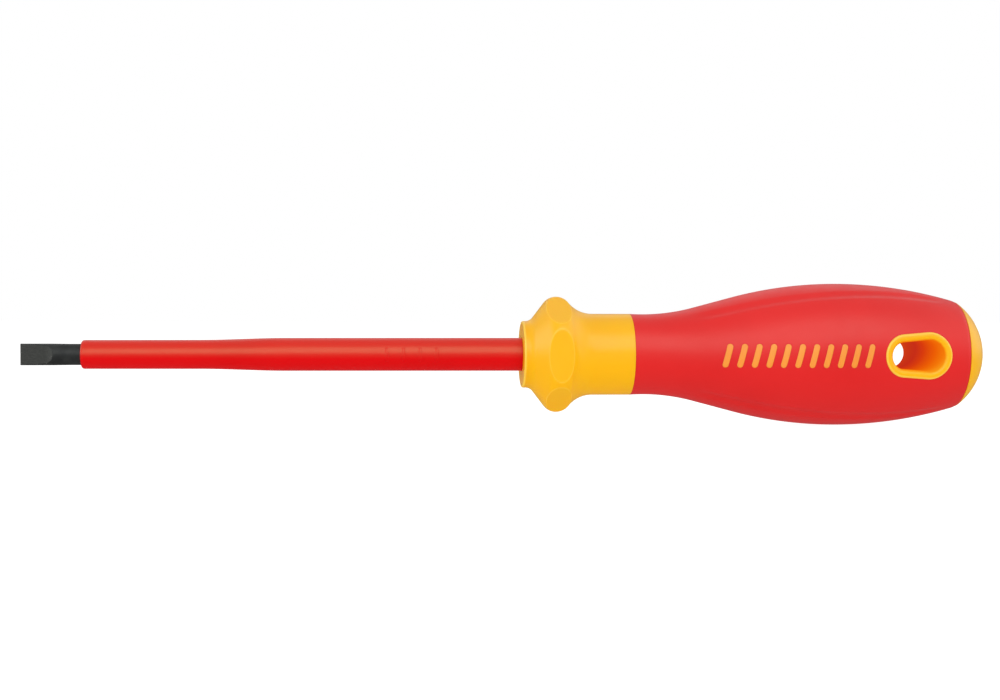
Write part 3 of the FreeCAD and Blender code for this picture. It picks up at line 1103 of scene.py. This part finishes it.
def moulded_plastic(
    name, colour, deep, pale, roughness, grain, scatter, shine=0.4, under_shine=0.1, tint=(1.0, 1.0, 1.0)
):
    """A moulded plastic: clouded pigment, a painted highlight in a pale colour on marked edges, uneven
    sheen and a fine grain.

    Colours are display values. grain is the texture's size and depth in millimetres. under_shine is the
    share of the shine that is left where the surface faces downwards.
    """
    material, tree, shader, coords = new_material(name)
    grain_size, grain_depth = grain
    cloud = noise(tree, coords, CLOUD_SCALE, 3)
    pigment = ramp(tree, cloud, [(0.3, linear(*deep)), (0.55, linear(*colour)), (0.8, linear(*colour))])
    # painted highlight: marked edges take on the pale colour, as if their rounding caught the light
    edges = fit(tree, attribute(tree, "pale_edge"), 0, 1, 0, EDGE_HIGHLIGHT_BLEND)
    upward = split(tree, add(tree, "NewGeometry").outputs["Normal"])["Z"]
    bumps = noise(tree, coords, 1 / (grain_size * MM), 2, 0.6)
    blotch = noise(tree, coords, SHEEN_SCALE, 2)
    bump = add(tree, "Bump", {"Height": bumps, "Strength": 1.0, "Distance": grain_depth * MM})
    set_inputs(
        tree,
        shader,
        {
            "Base Color": blend(tree, edges, pigment, linear(*pale)),
            "Roughness": fit(tree, blotch, 0.3, 0.7, roughness - 0.02, roughness + 0.03),
            "Normal": bump.outputs["Normal"],
            "Specular IOR Level": fit(tree, upward, *UNDERSIDE, shine * under_shine, shine),
            "Specular Tint": (*tint, 1.0),
            "Subsurface Weight": scatter,
            "Subsurface Radius": SCATTER_COLOURS,
            "Subsurface Scale": SCATTER_DEPTH * MM,
        },
    )
    return material


def paint_light_inside_hole(material):
    """Paints light and shade on a body inside the hanging hole: a dark base colour as painted shade, an
    emitted glow as painted light that comes through the walls, and a duller shine.
    """
    tree = material.node_tree
    shader = next(n for n in tree.nodes if n.type == "BSDF_PRINCIPLED")
    base = shader.inputs["Base Color"].links[0].from_socket
    shine = shader.inputs["Specular IOR Level"].links[0].from_socket
    place = split(tree, add(tree, "TexCoord").outputs["Object"])
    inside = attribute(tree, "in_bore")
    way_in = combine(tree, "MULTIPLY_ADD", place["Z"], BORE_GLOW_TILT, place["Y"])
    depth = fit(tree, way_in, -BORE_GLOW_REACH * MM, BORE_GLOW_REACH * MM, 0.0, 1.0, "LINEAR")
    set_inputs(
        tree,
        shader,
        {
            "Base Color": blend(tree, inside, base, linear(*BORE_PAINTED_SHADE)),
            "Specular IOR Level": add(tree, "Mix", {0: inside, 2: shine, 3: 0.0}).outputs[0],
            "Emission Color": ramp(tree, depth, [(stop, linear(*colour)) for stop, colour in BORE_GLOW]),
            "Emission Strength": combine(tree, "MULTIPLY", inside, BORE_GLOW_STRENGTH),
        },
    )


def blackened_steel():
    """Phosphated steel: a dark matt skin, fine speckle, and grinding lines on the tip."""
    material, tree, shader, coords = new_material("blackened_steel")
    place = split(tree, coords)
    speckle = noise(tree, coords, 5000, 3, 0.7)
    cloud = noise(tree, coords, 350, 3)
    skin = ramp(tree, cloud, [(0.35, linear(45, 47, 47)), (0.65, linear(57, 59, 58))])
    stretched = add(tree, "Mapping", {"Vector": coords, "Scale": (0.06, 1.0, 1.0)}).outputs["Vector"]
    lines = noise(tree, stretched, 9000, 2, 0.6)
    facet = ramp(tree, lines, [(0.3, linear(58, 60, 58)), (0.7, linear(76, 77, 74))])
    section = add(tree, "CombineXYZ", {"Y": place["Y"], "Z": place["Z"]}).outputs[0]
    from_axis = add(tree, "VectorMath", {0: section}, operation="LENGTH").outputs["Value"]
    ground_start, ground_end = (SHANK_RADIUS - 0.14) * MM, (SHANK_RADIUS - 0.06) * MM
    steel = blend(tree, fit(tree, from_axis, ground_start, ground_end, 1.0, 0.0), skin, facet)
    rubbed = fit(tree, add(tree, "NewGeometry").outputs["Pointiness"], 0.53, 0.62, 0.0, 0.5)
    height = combine(tree, "ADD", speckle, lines)
    bump = add(tree, "Bump", {"Height": height, "Strength": 1.0, "Distance": STEEL_GRAIN_DEPTH * MM})
    set_inputs(
        tree,
        shader,
        {
            "Base Color": blend(tree, rubbed, steel, linear(110, 110, 106)),
            "Metallic": 0.55,
            "Roughness": fit(tree, speckle, 0.3, 0.7, 0.42, 0.55),
            "Normal": bump.outputs["Normal"],
            "Specular IOR Level": 0.35,
        },
    )
    return material


def build_materials():
    """One material per finish, by name."""
    made = {name: moulded_plastic(name, **finish) for name, finish in PLASTICS.items()}
    made["blackened_steel"] = blackened_steel()
    paint_light_inside_hole(made["handle_yellow"])
    return made


# Stage, in metres

FLOOR_HALF_SIZE = 4.0
FLOOR_CENTRE_X = 0.12
FLOOR_GAP = 0.0002

# The floor glows to stay pale. Its emission colour is this dim, and the linked strength makes up for it,
# so that the renderer doesn't take the floor for a lamp.
FLOOR_GLOW = 0.4

# How bright the floor looks to the camera, to a mirrored ray and to all others
FLOOR_TO_CAMERA = 0.97
FLOOR_TO_GLOSS = 0.24
FLOOR_TO_REST = 0.79

# The world's brightness: a direction's range, then the brightness at either end of it
SKY_UPWARD = (0.0, 0.7, 0.12, 0.58)
GLOW_LEFT = (-0.98, -0.70, 2.1, 0.0)
GLOW_RIGHT = (0.5, 0.95, 0.0, 0.9)

LIGHT_TARGET = (0.13, 0.0, 0.0)

CAMERA_PLACE = (0.0827, -0.4014, 0.0107)
CAMERA_TARGET = (0.1195, 0.0, 0.0011)
CAMERA_LENS = 56.88


def build_floor():
    """A plain pale floor under the lowest point of the tool."""
    floor_mesh = bmesh.new()
    bmesh.ops.create_grid(floor_mesh, x_segments=8, y_segments=8, size=FLOOR_HALF_SIZE)
    data = bpy.data.meshes.new("floor")
    floor_mesh.to_mesh(data)
    floor_mesh.free()
    floor = bpy.data.objects.new("floor", data)
    floor.location = (FLOOR_CENTRE_X, 0, cad_box[0][2] - FLOOR_GAP)
    bpy.context.scene.collection.objects.link(floor)
    material, tree, shader, coords = new_material("pale_floor")
    tone = ramp(
        tree, noise(tree, coords, 6, 2), [(0.3, linear(136, 136, 135)), (0.7, linear(140, 140, 139))]
    )
    path = add(tree, "LightPath").outputs
    unseen = fit(
        tree, path["Is Glossy Ray"], 0.0, 1.0, FLOOR_TO_REST / FLOOR_GLOW, FLOOR_TO_GLOSS / FLOOR_GLOW
    )
    set_inputs(
        tree,
        shader,
        {
            "Base Color": blend(tree, path["Is Glossy Ray"], tone, (0.02, 0.02, 0.02, 1)),
            "Roughness": 0.9,
            "Specular IOR Level": 0.1,
            "Emission Color": (FLOOR_GLOW, FLOOR_GLOW, FLOOR_GLOW, 1),
            "Emission Strength": fit(
                tree, path["Is Camera Ray"], 0.0, 1.0, unseen, FLOOR_TO_CAMERA / FLOOR_GLOW
            ),
        },
    )
    data.materials.append(material)


def build_world():
    """White to the camera; to everything else a soft light, brighter above and at the two sides."""
    world = bpy.data.worlds.new("studio")
    bpy.context.scene.world = world
    world.use_nodes = True
    tree = world.node_tree
    tree.nodes.clear()
    output = add(tree, "OutputWorld")
    way = split(tree, add(tree, "TexCoord").outputs["Generated"])
    path = add(tree, "LightPath").outputs
    sides = combine(tree, "ADD", fit(tree, way["X"], *GLOW_LEFT), fit(tree, way["X"], *GLOW_RIGHT))
    strength = combine(tree, "ADD", sides, fit(tree, way["Z"], *SKY_UPWARD))
    soft = add(tree, "Background", {"Color": (1, 1, 1, 1), "Strength": strength})
    white = add(tree, "Background", {"Color": (1, 1, 1, 1), "Strength": 1.0})
    mixed = add(tree, "MixShader", {0: path["Is Camera Ray"], 1: soft.outputs[0], 2: white.outputs[0]})
    tree.links.new(mixed.outputs[0], output.inputs["Surface"])


def soft_box(name, place, width, height, power, roll_deg=0.0):
    """A rectangular soft light that faces the tool; a positive roll lifts its right-hand end."""
    light = bpy.data.lights.new(name, "AREA")
    light.shape = "RECTANGLE"
    light.size = width
    light.size_y = height
    light.energy = power
    lamp = bpy.data.objects.new(name, light)
    aim = (Vector(LIGHT_TARGET) - Vector(place)).to_track_quat("-Z", "Y")
    lamp.location = place
    lamp.rotation_euler = (aim @ Quaternion((0, 0, 1), math.radians(roll_deg))).to_euler()
    bpy.context.scene.collection.objects.link(lamp)


def build_lights():
    """A long box above and in front, a little higher over the handle, and a weaker one behind."""
    soft_box("key", (0.17, -0.52, 0.32), width=1.0, height=0.45, power=2.5, roll_deg=20.0)
    soft_box("back", (0.15, 0.60, 0.45), width=0.9, height=0.4, power=0.4)


def build_camera():
    """A long-lens camera in front of the tool, nearly level with its axis."""
    camera_data = bpy.data.cameras.new("camera")
    camera_data.sensor_width = 36.0
    camera_data.lens = CAMERA_LENS
    camera_data.clip_start = 0.01
    camera = bpy.data.objects.new("camera", camera_data)
    place = Vector(CAMERA_PLACE)
    sight = (Vector(CAMERA_TARGET) - place).normalized()
    upward = Vector((0, -sight.z, sight.y)).normalized()
    across = sight.cross(upward)
    turned = Matrix((across, upward, -sight)).transposed().to_4x4()
    camera.matrix_world = Matrix.Translation(place) @ turned
    bpy.context.scene.collection.objects.link(camera)
    bpy.context.scene.camera = camera


def main():
    """Builds every piece, then the stage."""
    bpy.context.scene.view_settings.view_transform = "Standard"
    looks = build_materials()
    build_blade(looks["blackened_steel"])
    build_sleeve(looks["sleeve_red"])
    build_body(looks["handle_yellow"])
    build_grip(looks["grip_red"])
    build_stripes(looks["stripe_orange"])
    build_cap(looks["cap_yellow"])
    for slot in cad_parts["handle_core"].material_slots:
        slot.material = looks["core_amber"]
    build_floor()
    build_world()
    build_lights()
    build_camera()


main()
